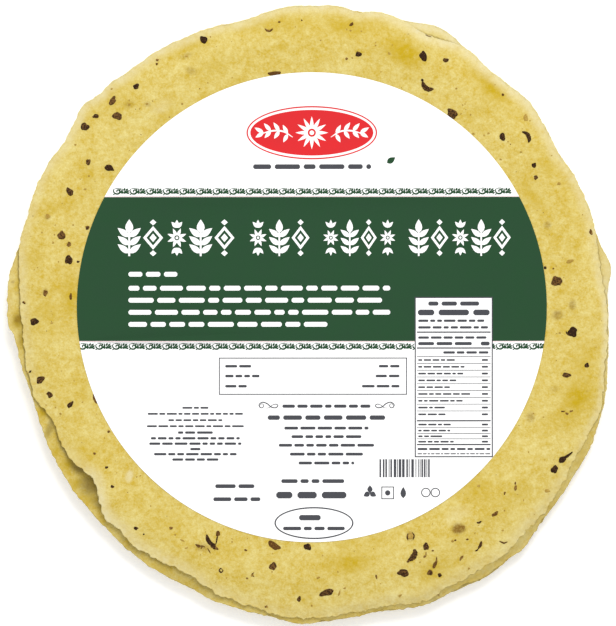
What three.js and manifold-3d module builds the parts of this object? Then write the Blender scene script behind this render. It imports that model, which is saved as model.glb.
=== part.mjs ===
// A stack of ten round lentil wafers, dried and uncooked, with a round paper label lying on it.
// Millimetres, +Z up. Every wafer is a thin disc with an uneven hand-rolled edge. The wafers lie flat
// on each other in the middle, and towards the rim they wave a little and part from their neighbours.

import * as THREE from "three";
import { mergeVertices } from "three/addons/utils/BufferGeometryUtils.js";
import Module from "manifold-3d";

// Driving dimensions

const WAFERS = 10;
const WAFER_THICKNESS = 0.6;
const WAFER_GAP = 0.3;
const FLAT_RADIUS = 45;
const WAVY_RADIUS = 86;

const LABEL_RADIUS = 74;
const LABEL_THICKNESS = 0.25;
const LABEL_GAP = 0.3;

// Outside the wavy radius the dough thins out towards the edge, by so many millimetres for each millimetre
const THINNING_SLOPE = 0.022;
const THINNING_BLEND = 1.2;

// How much two neighbours part at the rim, at the crests of their waves
const RIM_PARTING = 0.34;
const PARTING_CRESTS = [2, 3, 4];

// The bottom wafer's rim curls off the table in three waves, and stands on it between them
const RIM_CURL = 1.1;
const RIM_CURL_CRESTS = 3;
const RIM_CURL_ANGLE = 312;
const RIM_CURL_POWER = 3;

// Outlines. A wave is [number of crests, height, angle of the first crest].
// A nick or bulge is [angle, half width in degrees, height], below zero for a nick.

const BUMP_SPREAD = 0.75;

const TOP_RADIUS = 94.2;
const TOP_WAVES = [[1, 1.4, -34], [2, 2.5, -65], [3, 0.95, 48], [4, 0.6, -22]];
const TOP_NICKS = [
  [7, 5, -1.0], [21, 7, 0.6], [32, 3, -1.1], [43, 3, 0.9], [53, 4, -0.6], [59, 3, 0.6], [67, 4, -1.6],
  [76, 4, 0.6], [81, 2, -0.8], [86, 3, 0.8], [94, 4, 0.9], [104, 4, -1.1], [121, 4, 0.4], [132, 2, 0.7],
  [138.5, 2.5, 1.7], [147, 4, -1.0], [151, 9, 0.4], [168, 3, 0.8], [178, 6, -0.4], [192, 2.5, 0.9], [198, 3, 1.6],
  [204, 4, -0.8], [218, 3.5, -2.7], [226, 3, 1.9], [233, 4, 1.4], [245, 4, -1.4], [266, 6, 0.9],
  [278, 3, -0.8], [284, 3, -1.4], [291, 3, 0.9], [308, 3, 1.0], [329, 6, -0.8], [341, 4, 1.2],
];

const SECOND_RADIUS = 95.1;
const LOWER_WAVES = [[1, 2.4, -78], [2, 1.5, -69], [3, 0.7, -56], [4, 0.65, -19]];
const SECOND_NICKS = [
  [0, 4, -0.6], [8, 3, 2.0], [30, 5, -1.4], [46, 8, 0.4], [54, 4, -0.9], [65, 5, 2.5], [81, 3, -1.3],
  [104, 5, -1.2], [137, 4, 1.2], [158, 9, -1.4], [177, 6, 1.8], [183, 2, 1.2], [198, 7, -1.3], [216, 8, 0.4],
  [233, 6, 0.3], [246, 4, -0.6], [268, 3, 1.3], [282, 4, -1.0], [292, 5, 1.3], [303, 4, 1.8], [311, 4, 2.1],
  [322, 6, 0.3], [334, 4, 0.8], [341, 4, 0.4], [353, 5, -0.8],
];

// The wafers under the second one share a shape, lean out one past the other, and vary a little
const LOWER_RADIUS = 94.5;
const LOWER_NICKS = [
  [197, 9, -0.6], [250, 8, -0.3], [268, 4, 1.1], [280, 4, -0.9], [290, 4, 0.6], [304, 8, 2.1], [334, 5, 0.6],
  [352, 9, -1.4],
];
const LEAN_STEP = 0.05;
const LEAN_ANGLE = 312;
const OWN_WAVES = [[5, 0.25], [8, 0.22], [13, 0.2]];

// Where the top wafer's rim stands off the one below: [angle, half width in degrees, height]
const TOP_LIFTS = [[218, 10, 1.9], [190, 16, 0.6], [242, 18, 0.5], [5, 9, 0.4]];
const LIFT_START_RADIUS = 76;
const LIFT_END_RADIUS = 94;

// Turns each wafer's waves against its neighbour's, so that no two line up
const GOLDEN_ANGLE = 137.508;

// Coarse pepper, kneaded into the dough, that stands out of the top wafer:
// [angle, distance from the middle, length, width, turn of its length]
const PEPPER_HEIGHT = 0.28;
const HIGH_ABOVE = 100;
const PEPPER = [
  [112.0, 91.0, 2.4, 2.4, 0], [128.5, 89.0, 2.0, 1.7, 20], [134.0, 90.5, 3.0, 1.9, 55],
  [138.5, 91.0, 1.9, 1.4, 15], [135.5, 86.0, 3.1, 2.4, 0], [141.5, 91.5, 2.7, 2.5, 10],
  [147.0, 84.0, 1.8, 1.6, 80], [145.5, 77.5, 3.1, 1.9, -25], [154.5, 84.5, 2.7, 2.0, -45],
  [164.0, 82.0, 2.9, 2.3, 75], [169.0, 78.0, 2.9, 2.4, 70], [183.0, 87.5, 2.5, 2.4, 20],
  [195.0, 88.5, 2.7, 2.2, 50], [198.5, 87.0, 2.0, 1.7, -35], [202.0, 82.0, 2.5, 1.7, 55],
  [261.5, 82.5, 2.6, 2.2, 80], [273.0, 90.0, 4.4, 2.2, 15], [289.0, 88.5, 3.9, 2.2, -3],
  [292.0, 84.5, 4.4, 2.2, 65], [295.5, 83.5, 2.5, 1.7, 80], [294.0, 91.5, 1.9, 1.6, 80],
  [305.0, 91.5, 3.8, 1.4, 60], [326.5, 92.0, 2.8, 2.4, 75], [329.0, 92.5, 4.4, 2.2, 35],
  [345.0, 83.0, 2.6, 1.6, -10], [354.5, 82.5, 3.1, 3.0, -20], [6.0, 77.5, 3.4, 3.1, 45],
  [66.0, 86.5, 3.1, 2.4, 100], [61.5, 88.5, 1.8, 1.4, -15], [62.0, 78.5, 3.5, 2.5, -30],
  [41.5, 80.5, 2.7, 1.9, 95], [38.5, 85.5, 3.6, 2.0, -50], [79.5, 81.0, 1.9, 1.7, 20],
  [246.5, 80.5, 4.1, 2.5, -50],
];

// How finely each kind of disc is split: steps round it, and the rings inside its edge
const TOP_STEPS = 108;
const SECOND_STEPS = 96;
const LOWER_STEPS = 60;
const LABEL_STEPS = 64;
const MIDDLE_RIM_RADIUS = 80;
const FINE_RINGS = [FLAT_RADIUS, LABEL_RADIUS, MIDDLE_RIM_RADIUS, WAVY_RADIUS];
const COARSE_RINGS = [FLAT_RADIUS, LABEL_RADIUS, WAVY_RADIUS];
const LABEL_RINGS = [FLAT_RADIUS];

const DOUGH_COLOUR = 0xe0cb6c;
const DOUGH_ROUGHNESS = 0.75;
const LABEL_COLOUR = 0xf7f7f4;
const LABEL_ROUGHNESS = 0.55;

// Small helpers, with angles in degrees

const cosine = (degrees) => Math.cos(THREE.MathUtils.degToRad(degrees));
const sine = (degrees) => Math.sin(THREE.MathUtils.degToRad(degrees));

// A wave between 0 in its troughs and 1 on its crests
const swell = (degrees) => (1 + cosine(degrees)) / 2;

function bump(angle, centre, halfWidth) {
  const away = THREE.MathUtils.euclideanModulo(angle - centre + 180, 360) - 180;
  return Math.exp(-((away / (BUMP_SPREAD * halfWidth)) ** 2) / 2);
}

function waveSum(waves, angle) {
  return waves.reduce((sum, [crests, height, first]) => sum + height * cosine(crests * (angle - first)), 0);
}

function bumpSum(bumps, angle) {
  return bumps.reduce((sum, [centre, halfWidth, height]) => sum + height * bump(angle, centre, halfWidth), 0);
}

// Outline of one wafer: its radius at an angle. Wafers are numbered from 1 at the bottom.

function waferRadius(number, angle) {
  if (number === WAFERS) {
    return TOP_RADIUS + waveSum(TOP_WAVES, angle) + bumpSum(TOP_NICKS, angle);
  }
  if (number === WAFERS - 1) {
    return SECOND_RADIUS + waveSum(LOWER_WAVES, angle) + bumpSum(SECOND_NICKS, angle);
  }
  const lean = LEAN_STEP * (WAFERS - 1 - number) * cosine(angle - LEAN_ANGLE);
  const own = OWN_WAVES.reduce(
    (sum, [crests, height]) => sum + height * cosine(crests * angle + GOLDEN_ANGLE * (number + crests)),
    0,
  );
  return LOWER_RADIUS + waveSum(LOWER_WAVES, angle) + bumpSum(LOWER_NICKS, angle) + lean + own;
}

// Heights over the table, as functions of the distance from the middle and the angle

function rise(radius) {
  return THREE.MathUtils.smoothstep(radius, FLAT_RADIUS, WAVY_RADIUS);
}

function doughThickness(radius) {
  const past = THINNING_BLEND * Math.log(1 + Math.exp((radius - WAVY_RADIUS) / THINNING_BLEND));
  return WAFER_THICKNESS - THINNING_SLOPE * past;
}

function gapUnder(number, radius, angle) {
  const crests = PARTING_CRESTS[number % PARTING_CRESTS.length];
  let gap = WAFER_GAP + RIM_PARTING * swell(crests * angle + GOLDEN_ANGLE * number) * rise(radius);
  if (number === WAFERS) {
    gap += bumpSum(TOP_LIFTS, angle) * THREE.MathUtils.smoothstep(radius, LIFT_START_RADIUS, LIFT_END_RADIUS);
  }
  return gap;
}

function waferBottom(number, radius, angle) {
  if (number === 1) {
    return RIM_CURL * swell(RIM_CURL_CRESTS * (angle - RIM_CURL_ANGLE)) * rise(radius) ** RIM_CURL_POWER;
  }
  return waferTop(number - 1, radius, angle) + gapUnder(number, radius, angle);
}

function waferTop(number, radius, angle) {
  return waferBottom(number, radius, angle) + doughThickness(radius);
}

// A closed thin disc from its outline and its two faces, both split into triangles alike

function discGeometry(steps, rings, edgeRadius, bottomHeight, topHeight) {
  const positions = [];
  const faces = [];
  const rows = rings.length + 1;
  const vertexCountPerFace = 1 + steps * rows;
  for (const height of [topHeight, bottomHeight]) {
    positions.push(0, 0, height(0, 0));
    for (let row = 0; row < rows; row += 1) {
      for (let step = 0; step < steps; step += 1) {
        const angle = (360 * step) / steps;
        const radius = row < rings.length ? rings[row] : edgeRadius(angle);
        positions.push(radius * cosine(angle), radius * sine(angle), height(radius, angle));
      }
    }
  }
  const vertex = (side, row, step) => side * vertexCountPerFace + 1 + row * steps + (step % steps);
  for (const side of [0, 1]) {
    const add = (a, b, c) => (side === 0 ? faces.push(a, b, c) : faces.push(a, c, b));
    for (let step = 0; step < steps; step += 1) {
      add(side * vertexCountPerFace, vertex(side, 0, step), vertex(side, 0, step + 1));
      for (let row = 0; row + 1 < rows; row += 1) {
        const inner = vertex(side, row, step);
        const innerNext = vertex(side, row, step + 1);
        const outer = vertex(side, row + 1, step);
        const outerNext = vertex(side, row + 1, step + 1);
        add(inner, outer, outerNext);
        add(inner, outerNext, innerNext);
      }
    }
  }
  for (let step = 0; step < steps; step += 1) {
    const upper = vertex(0, rows - 1, step);
    const upperNext = vertex(0, rows - 1, step + 1);
    const lower = vertex(1, rows - 1, step);
    const lowerNext = vertex(1, rows - 1, step + 1);
    faces.push(upper, lower, lowerNext, upper, lowerNext, upperNext);
  }
  const geometry = new THREE.BufferGeometry();
  geometry.setAttribute("position", new THREE.Float32BufferAttribute(positions, 3));
  geometry.setIndex(faces);
  return geometry;
}

function waferGeometry(number, steps, rings) {
  return discGeometry(
    steps,
    rings,
    (angle) => waferRadius(number, angle),
    (radius, angle) => waferBottom(number, radius, angle),
    (radius, angle) => waferTop(number, radius, angle),
  );
}

function labelGeometry() {
  const underside = (radius, angle) => waferTop(WAFERS, radius, angle) + LABEL_GAP;
  return discGeometry(
    LABEL_STEPS,
    LABEL_RINGS,
    () => LABEL_RADIUS,
    underside,
    (radius, angle) => underside(radius, angle) + LABEL_THICKNESS,
  );
}

// Joining the pepper to the top wafer

const manifold = await Module();
manifold.setup();

function toManifold(geometry) {
  const bare = geometry.clone();
  bare.deleteAttribute("normal");
  bare.deleteAttribute("uv");
  const merged = mergeVertices(bare);
  return new manifold.Manifold(
    new manifold.Mesh({
      numProp: 3,
      vertProperties: new Float32Array(merged.attributes.position.array),
      triVerts: new Uint32Array(merged.index.array),
    }),
  );
}

function toGeometry(solid) {
  const mesh = solid.getMesh();
  const geometry = new THREE.BufferGeometry();
  geometry.setAttribute("position", new THREE.Float32BufferAttribute(mesh.vertProperties, 3));
  geometry.setIndex(Array.from(mesh.triVerts));
  return geometry;
}

// The point of a face that lies straight below a high point
function pointOnFace(mesh, x, y) {
  const ray = new THREE.Raycaster(new THREE.Vector3(x, y, HIGH_ABOVE), new THREE.Vector3(0, 0, -1));
  return ray.intersectObject(mesh)[0].point;
}

// A broken peppercorn: a flattened twenty-sided grain with its middle on the wafer's upper face
function pepperGeometry(wafer, [angle, distance, length, width, turn]) {
  const place = pointOnFace(wafer, distance * cosine(angle), distance * sine(angle));
  const grain = new THREE.IcosahedronGeometry(1, 0);
  grain.scale(length / 2, width / 2, PEPPER_HEIGHT);
  grain.rotateZ(THREE.MathUtils.degToRad(turn));
  grain.translate(place.x, place.y, place.z);
  return grain;
}

function topWaferGeometry() {
  const bare = waferGeometry(WAFERS, TOP_STEPS, FINE_RINGS);
  const wafer = new THREE.Mesh(bare);
  let solid = toManifold(bare);
  for (const grain of PEPPER) {
    solid = solid.add(toManifold(pepperGeometry(wafer, grain)));
  }
  return toGeometry(solid);
}

// The stack

function addPiece(group, name, geometry, colour, roughness) {
  geometry.computeVertexNormals();
  const material = new THREE.MeshStandardMaterial({ color: colour, roughness, metalness: 0, flatShading: true });
  const mesh = new THREE.Mesh(geometry, material);
  mesh.name = name;
  group.add(mesh);
}

function addWafers(group) {
  for (let number = 1; number <= WAFERS; number += 1) {
    let geometry;
    if (number === WAFERS) {
      geometry = topWaferGeometry();
    } else if (number === WAFERS - 1) {
      geometry = waferGeometry(number, SECOND_STEPS, FINE_RINGS);
    } else {
      geometry = waferGeometry(number, LOWER_STEPS, COARSE_RINGS);
    }
    const name = `papadum_${String(number).padStart(2, "0")}`;
    addPiece(group, name, geometry, DOUGH_COLOUR, DOUGH_ROUGHNESS);
  }
}

const stack = new THREE.Group();
addWafers(stack);
addPiece(stack, "label", labelGeometry(), LABEL_COLOUR, LABEL_ROUGHNESS);

// The origin is on the table, under the middle of the whole stack's box
const middle = new THREE.Box3().setFromObject(stack).getCenter(new THREE.Vector3());
stack.position.set(-middle.x, -middle.y, 0);

const group = new THREE.Group();
group.add(stack);

export default group;
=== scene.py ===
# The looks of a stack of ten dried lentil wafers with a round paper label on top.
# Lengths are in millimetres and angles in degrees, in the label's own frame: its middle is at (0, 0), the
# table at height 0 and the top of its print towards +Y. Points turn into metres in the part's frame when a
# mesh is made.

import math
from itertools import cycle

import bpy
import numpy as np
from mathutils import Color, Matrix, Vector
from mathutils.geometry import delaunay_2d_cdt


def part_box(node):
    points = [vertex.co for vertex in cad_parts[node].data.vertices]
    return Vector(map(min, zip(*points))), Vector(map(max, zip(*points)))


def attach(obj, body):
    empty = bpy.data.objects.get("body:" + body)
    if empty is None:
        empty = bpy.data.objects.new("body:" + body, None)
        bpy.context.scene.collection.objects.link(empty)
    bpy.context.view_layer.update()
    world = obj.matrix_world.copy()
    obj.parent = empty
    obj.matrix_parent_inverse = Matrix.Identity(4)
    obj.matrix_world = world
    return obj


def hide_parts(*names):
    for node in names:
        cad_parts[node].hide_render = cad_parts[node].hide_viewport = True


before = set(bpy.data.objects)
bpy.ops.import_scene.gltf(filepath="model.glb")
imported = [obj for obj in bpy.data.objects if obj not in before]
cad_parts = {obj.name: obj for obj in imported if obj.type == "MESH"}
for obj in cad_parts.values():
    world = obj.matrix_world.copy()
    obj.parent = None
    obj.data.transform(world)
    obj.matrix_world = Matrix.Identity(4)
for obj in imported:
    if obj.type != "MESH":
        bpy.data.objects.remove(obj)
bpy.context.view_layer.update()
label_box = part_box("label")

MM = 0.001
MIDDLE_X = (label_box[0].x + label_box[1].x) / 2
MIDDLE_Y = (label_box[0].y + label_box[1].y) / 2

# Sizes that the wafers and the label share with the solids

WAFERS = 10
WAFER_THICKNESS = 0.6
WAFER_GAP = 0.3
FLAT_RADIUS = 45
WAVY_RADIUS = 86
LABEL_RADIUS = 74
THINNING_SLOPE = 0.022
THINNING_BLEND = 1.2
RIM_PARTING = 0.34
PARTING_CRESTS = [2, 3, 4]
RIM_CURL = 1.1
RIM_CURL_CRESTS = 3
RIM_CURL_ANGLE = 312
RIM_CURL_POWER = 3
GOLDEN_ANGLE = 137.508

# Outlines. A wave is [number of crests, height, angle of the first crest].
# A nick or bulge is [angle, half width in degrees, height], below zero for a nick.

BUMP_SPREAD = 0.75

TOP_RADIUS = 94.2
TOP_WAVES = [[1, 1.4, -34], [2, 2.5, -65], [3, 0.95, 48], [4, 0.6, -22]]
TOP_NICKS = [
    [7, 5, -1.0], [21, 7, 0.6], [32, 3, -1.1], [43, 3, 0.9], [53, 4, -0.6], [59, 3, 0.6], [67, 4, -1.6],
    [76, 4, 0.6], [81, 2, -0.8], [86, 3, 0.8], [94, 4, 0.9], [104, 4, -1.1], [121, 4, 0.4], [132, 2, 0.7],
    [138.5, 2.5, 1.7], [147, 4, -1.0], [151, 9, 0.4], [168, 3, 0.8], [178, 6, -0.4], [192, 2.5, 0.9],
    [198, 3, 1.6], [204, 4, -0.8], [218, 3.5, -2.7], [226, 3, 1.9], [233, 4, 1.4], [245, 4, -1.4],
    [266, 6, 0.9], [278, 3, -0.8], [284, 3, -1.4], [291, 3, 0.9], [308, 3, 1.0], [329, 6, -0.8],
    [341, 4, 1.2],
]
SECOND_RADIUS = 95.1
LOWER_WAVES = [[1, 2.4, -78], [2, 1.5, -69], [3, 0.7, -56], [4, 0.65, -19]]
SECOND_NICKS = [
    [0, 4, -0.6], [8, 3, 2.0], [30, 5, -1.4], [46, 8, 0.4], [54, 4, -0.9], [65, 5, 2.5], [81, 3, -1.3],
    [104, 5, -1.2], [137, 4, 1.2], [158, 9, -1.4], [177, 6, 1.8], [183, 2, 1.2], [198, 7, -1.3],
    [216, 8, 0.4], [233, 6, 0.3], [246, 4, -0.6], [268, 3, 1.3], [282, 4, -1.0], [292, 5, 1.3],
    [303, 4, 1.8], [311, 4, 2.1], [322, 6, 0.3], [334, 4, 0.8], [341, 4, 0.4], [353, 5, -0.8],
]
LOWER_RADIUS = 94.5
LOWER_NICKS = [
    [197, 9, -0.6], [250, 8, -0.3], [268, 4, 1.1], [280, 4, -0.9], [290, 4, 0.6], [304, 8, 2.1],
    [334, 5, 0.6], [352, 9, -1.4],
]
LEAN_STEP = 0.05
LEAN_ANGLE = 312
# The lower wafers' own waves: [number of crests, height]
OWN_WAVES = [[5, 0.25], [8, 0.22], [13, 0.2]]

# Where the top wafer's rim stands off the one below
TOP_LIFTS = [[218, 10, 1.9], [190, 16, 0.6], [242, 18, 0.5], [5, 9, 0.4]]
LIFT_REACH = [76, 94]

# The rims droop where they stand off the table, from a little inside to a little outside the lower wafers' rim
DROOP_ARC = 60
DROOP_WIDENING = 1.8
DROOP = 1.7
DROOP_REACH = [-2.6, 1.6]
# Where the top wafer's rim lies down on the next one and thins out: [angle, half width in degrees, share].
# The two reaches are inside its rim.
LYING_ARCS = [[290, 22, 1.0], [330, 22, 1.0], [66, 14, 1.1], [0, 12, 0.8], [180, 12, 0.5]]
LYING_REACH = [0.3, 3.3]
TAPER = 0.3
TAPER_REACH = [0, 3]

# Layers of noise are [hill size, height], and each kind has seeds of its own.
# Crumbs along the rim are strongest at one angle and on the top wafer.
CRUMBS = [[3.4, 0.28], [1.4, 0.36], [0.7, 0.24]]
CRUMB_SEED = 3
CRUMB_ANGLE = 275
CRUMB_LEAST = 0.2
CRUMBS_ON_TOP = 1.15
CRUMBS_BELOW = 0.6
SECOND_CRUMBLY_ARCS = [[182, 10, 0.5]]
# The rounded rim's roughness, and how much it swells above and below. Both shift from one ring to the next.
ROUNDED_STEPS = 6
RIM_ROUGHNESS = [[1.6, 0.14], [0.7, 0.10]]
ROUGHNESS_SEED = 40
ROUGHNESS_SHIFT = 3
RIM_SWELLING = 0.1
SWELLING_WAVES = [[2.6, 0.08], [1.1, 0.06]]
SWELLING_SEED = 70
SWELLING_SHIFT = 2

# Relief of a wafer's upper face. The label presses it almost flat, up to PRESS_WIDTH from its edge.
RELIEF = [[14, 0.09], [5.5, 0.06], [2.2, 0.05], [1.1, 0.03]]
RELIEF_SEEDS = [5, 1]
RELIEF_UNDER_LABEL = 0.15
PRESS_WIDTH = 3
# Lumps on the drooping rim of the second wafer, and of the top one, where all of them stand up
RUBBLE = [[3, 0.28], [1.3, 0.26], [0.7, 0.12]]
RUBBLE_SEED = 50
PUCKERS = [[2.6, 0.42], [1.2, 0.34], [0.7, 0.12]]
PUCKER_SEED = 55

NOISE_CELLS = 256
NOISE_SEED = 7
NOISE_TABLE = np.random.default_rng(NOISE_SEED).uniform(-1, 1, (NOISE_CELLS, NOISE_CELLS))
# How far the noise turns and moves from one seed to the next
NOISE_TURN = 37
NOISE_MOVE = [17.3, 5.9]

# Tables for the top wafer, the second one and those below have these keys
TOP, SECOND, LOWER = WAFERS, WAFERS - 1, WAFERS - 2

# How finely the wafers are split: steps around the rim and around the covered middle, where the fine part
# starts, and how far its rings are apart
MESHES = {TOP: [1440, 360, 70, 0.55], SECOND: [1440, 360, 80, 0.45], LOWER: [720, 180, 84, 1.5]}
COARSE_STEP = 2.5
COARSE_END = 80
COARSE_RADII = np.arange(FLAT_RADIUS, COARSE_END + COARSE_STEP / 2, COARSE_STEP)

# Colours as they look in daylight, as red, green and blue in hexadecimal
DOUGH_LIGHT = "E7D78B"
DOUGH_DARK = "CEAF3C"
DOUGH_MUSTARD = "C7A71C"
# Paler dough, also laid along the rims as a painted highlight
DOUGH_PALE = "E5D8A5"
DOUGH_STAIN = "8A6825"
# Painted shade: a dark olive for the pocket under the top wafer's lifted rim and along that rim
PAINTED_SHADE_COLOUR = "86702F"
PAPER_WHITE = "FFFFFF"

# How bright the lights make a level white face, and how much lighter bare paper is than the white point
LIGHT_ON_TOP = 1.16
PAPER_LIFT = 1.12


def linear(colour, lift=1.0):
    """The colour's red, green and blue in linear light, with the lights' brightness taken off."""
    light = Color([int(colour[i : i + 2], 16) / 255 for i in (0, 2, 4)]).from_srgb_to_scene_linear()
    return [part / LIGHT_ON_TOP * lift for part in light] + [1.0]


# Small helpers


def cosine(degrees):
    return np.cos(np.radians(degrees))


def sine(degrees):
    return np.sin(np.radians(degrees))


def swell(degrees):
    """A wave between 0 in its troughs and 1 on its crests."""
    return (1 + cosine(degrees)) / 2


def smoothstep(value, low, high):
    share = np.clip((value - low) / (high - low), 0, 1)
    return share * share * (3 - 2 * share)


def around(count):
    """Angles evenly all the way round."""
    return np.arange(count) * 360 / count


def place(radius, angle):
    return radius * cosine(angle), radius * sine(angle)


def polar(x, y):
    return np.hypot(x, y), np.degrees(np.arctan2(y, x))


def turned(along, across, turn, x=0.0, y=0.0):
    """Points turned about the middle and then moved to x and y."""
    return x + along * cosine(turn) - across * sine(turn), y + along * sine(turn) + across * cosine(turn)


def degrees_from(angle, centre):
    """How far an angle is from another, between -180 and 180."""
    return (angle - centre + 180) % 360 - 180


def bump_sum(bumps, angle):
    total = np.zeros_like(angle)
    for centre, half_width, height in bumps:
        away = degrees_from(angle, centre) / (BUMP_SPREAD * half_width)
        total = total + height * np.exp(-(away**2) / 2)
    return total


def wave_sum(waves, angle):
    return sum(height * cosine(crests * (angle - first)) for crests, height, first in waves)


def noise(x, y, size, seed):
    """Smooth random heights between -1 and 1 over the plane, with hills about size apart."""
    x, y = turned(x, y, NOISE_TURN * seed)
    u, v = (axis / size + move * seed for axis, move in zip((x, y), NOISE_MOVE))
    column, row = np.floor(u).astype(int), np.floor(v).astype(int)
    across, up = smoothstep(u - column, 0, 1), smoothstep(v - row, 0, 1)

    def corner(right, above):
        return NOISE_TABLE[(column + right) % NOISE_CELLS, (row + above) % NOISE_CELLS]

    low = corner(0, 0) * (1 - across) + corner(1, 0) * across
    high = corner(0, 1) * (1 - across) + corner(1, 1) * across
    return low * (1 - up) + high * up


def noise_sum(layers, x, y, seed):
    return sum(height * noise(x, y, size, seed + i) for i, (size, height) in enumerate(layers))


# Form of the wafers, as in the solids


def lower_radius(angle):
    """The mean outline of the wafers under the second one."""
    return LOWER_RADIUS + wave_sum(LOWER_WAVES, angle) + bump_sum(LOWER_NICKS, angle)


def wafer_radius(number, angle):
    if number == TOP:
        return TOP_RADIUS + wave_sum(TOP_WAVES, angle) + bump_sum(TOP_NICKS, angle)
    if number == SECOND:
        return SECOND_RADIUS + wave_sum(LOWER_WAVES, angle) + bump_sum(SECOND_NICKS, angle)
    lean = LEAN_STEP * (SECOND - number) * cosine(angle - LEAN_ANGLE)
    own = sum(h * cosine(crests * angle + GOLDEN_ANGLE * (number + crests)) for crests, h in OWN_WAVES)
    return lower_radius(angle) + lean + own


def rise(radius):
    return smoothstep(radius, FLAT_RADIUS, WAVY_RADIUS)


def dough_thickness(radius):
    past = THINNING_BLEND * np.log1p(np.exp((radius - WAVY_RADIUS) / THINNING_BLEND))
    return WAFER_THICKNESS - THINNING_SLOPE * past


def gap_under(number, radius, angle):
    crests = PARTING_CRESTS[number % len(PARTING_CRESTS)]
    gap = WAFER_GAP + RIM_PARTING * swell(crests * angle + GOLDEN_ANGLE * number) * rise(radius)
    if number == TOP:
        gap = gap + bump_sum(TOP_LIFTS, angle) * smoothstep(radius, *LIFT_REACH)
    return gap


def wafer_bottom(number, radius, angle):
    height = RIM_CURL * swell(RIM_CURL_CRESTS * (angle - RIM_CURL_ANGLE)) * rise(radius) ** RIM_CURL_POWER
    for upper in range(2, number + 1):
        height = height + dough_thickness(radius) + gap_under(upper, radius, angle)
    return height


def wafer_top(number, radius, angle):
    return wafer_bottom(number, radius, angle) + dough_thickness(radius)


# What the scene adds to that form


def lying_share(number, angle):
    return np.clip(bump_sum(LYING_ARCS, angle), 0, 1) * (number == TOP)


def droop(number, radius, angle):
    """How far the two faces of a wafer's drooping rim are below those of its solid."""
    away = np.abs(degrees_from(angle, RIM_CURL_ANGLE))
    arc = np.minimum(1, DROOP_WIDENING * swell(RIM_CURL_CRESTS * away)) * (away < DROOP_ARC)
    share = min(1, number / SECOND)
    fall = DROOP * share * arc * smoothstep(radius - lower_radius(angle), *DROOP_REACH)
    if number < TOP:
        return fall, fall
    lying = lying_share(number, angle)
    inside = wafer_radius(number, angle) - radius
    fall = fall + gap_under(number, radius, angle) * lying * (1 - smoothstep(inside, *LYING_REACH))
    return fall + TAPER * lying * (1 - smoothstep(inside, *TAPER_REACH)), fall


def crumbly_radius(number, angle):
    """The wafer's outline with its fine crumbs."""
    radius = wafer_radius(number, angle)
    strength = CRUMB_LEAST + (1 - CRUMB_LEAST) * swell(angle - CRUMB_ANGLE)
    strength = strength * (CRUMBS_ON_TOP if number == TOP else CRUMBS_BELOW)
    if number == SECOND:
        strength = strength + bump_sum(SECOND_CRUMBLY_ARCS, angle)
    return radius + strength * noise_sum(CRUMBS, *place(radius, angle), CRUMB_SEED * number)


def relief(number, x, y):
    """Unevenness of a wafer's upper face."""
    press = smoothstep(np.hypot(x, y), LABEL_RADIUS - PRESS_WIDTH, LABEL_RADIUS + PRESS_WIDTH)
    step, first = RELIEF_SEEDS
    uneven = noise_sum(RELIEF, x, y, step * number + first)
    return uneven * (RELIEF_UNDER_LABEL + (1 - RELIEF_UNDER_LABEL) * press)


def face_height(number, radius, angle, upper):
    upper_fall, lower_fall = droop(number, radius, angle)
    if not upper:
        return wafer_bottom(number, radius, angle) - lower_fall
    x, y = place(radius, angle)
    uneven = relief(number, x, y)
    if number == SECOND:
        uneven = uneven + noise_sum(RUBBLE, x, y, RUBBLE_SEED) * np.minimum(1, upper_fall)
    elif number == TOP:
        uneven = uneven + np.abs(noise_sum(PUCKERS, x, y, PUCKER_SEED)) * np.minimum(1, upper_fall)
    return wafer_top(number, radius, angle) - upper_fall + uneven


# Meshes


def to_frame(points):
    """Points in millimetres in the label's frame, as metres in the part's frame."""
    return np.asarray(points, float) * MM + np.array([MIDDLE_X, MIDDLE_Y, 0.0])


def add_object(name, points, faces, material):
    mesh = bpy.data.meshes.new(name)
    mesh.from_pydata(to_frame(points).tolist(), [], faces)
    mesh.materials.append(material)
    mesh.polygons.foreach_set("use_smooth", [True] * len(faces))
    mesh.update()
    thing = bpy.data.objects.new(name, mesh)
    bpy.context.scene.collection.objects.link(thing)
    return thing


def add_number(thing, name, values):
    attribute = thing.data.attributes.new(name, "FLOAT", "POINT")
    attribute.data.foreach_set("value", np.asarray(values, np.float32))


def settle(thing, slot, *replaced):
    """Hides the solids that the piece replaces and attaches the piece to the root body. The slot is not used.
    """
    if replaced:
        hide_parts(*replaced)
    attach(thing, "root")


def stitch(inner, outer):
    """Faces between two rings of points. The outer ring has a whole number of times the inner one's."""
    ratio = len(outer) // len(inner)
    faces = []
    for i, point in enumerate(inner):
        following = inner[(i + 1) % len(inner)]
        last = outer[((i + 1) * ratio) % len(outer)]
        for j in range(ratio - 1):
            faces.append((point, outer[i * ratio + j], outer[i * ratio + j + 1]))
        faces.append((point, outer[i * ratio + ratio - 1], last, following))
    return faces


def stitch_all(loops):
    return [face for inner, outer in zip(loops, loops[1:]) for face in stitch(inner, outer)]


def fan(middle, ring):
    """Triangles from a middle point to a ring."""
    return [(middle, a, b) for a, b in zip(ring, ring[1:] + ring[:1])]


# Islands of the OFBake map, for the upper face with the rim and for the underside.
# Each is [x, y, radius] for a disc that reaches ISLAND_REACH.
UPPER_ISLAND = [0.41, 0.41, 0.40]
LOWER_ISLAND = [0.88, 0.88, 0.11]
ISLAND_REACH = 101
WALL_STRETCH = 1.004


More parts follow.
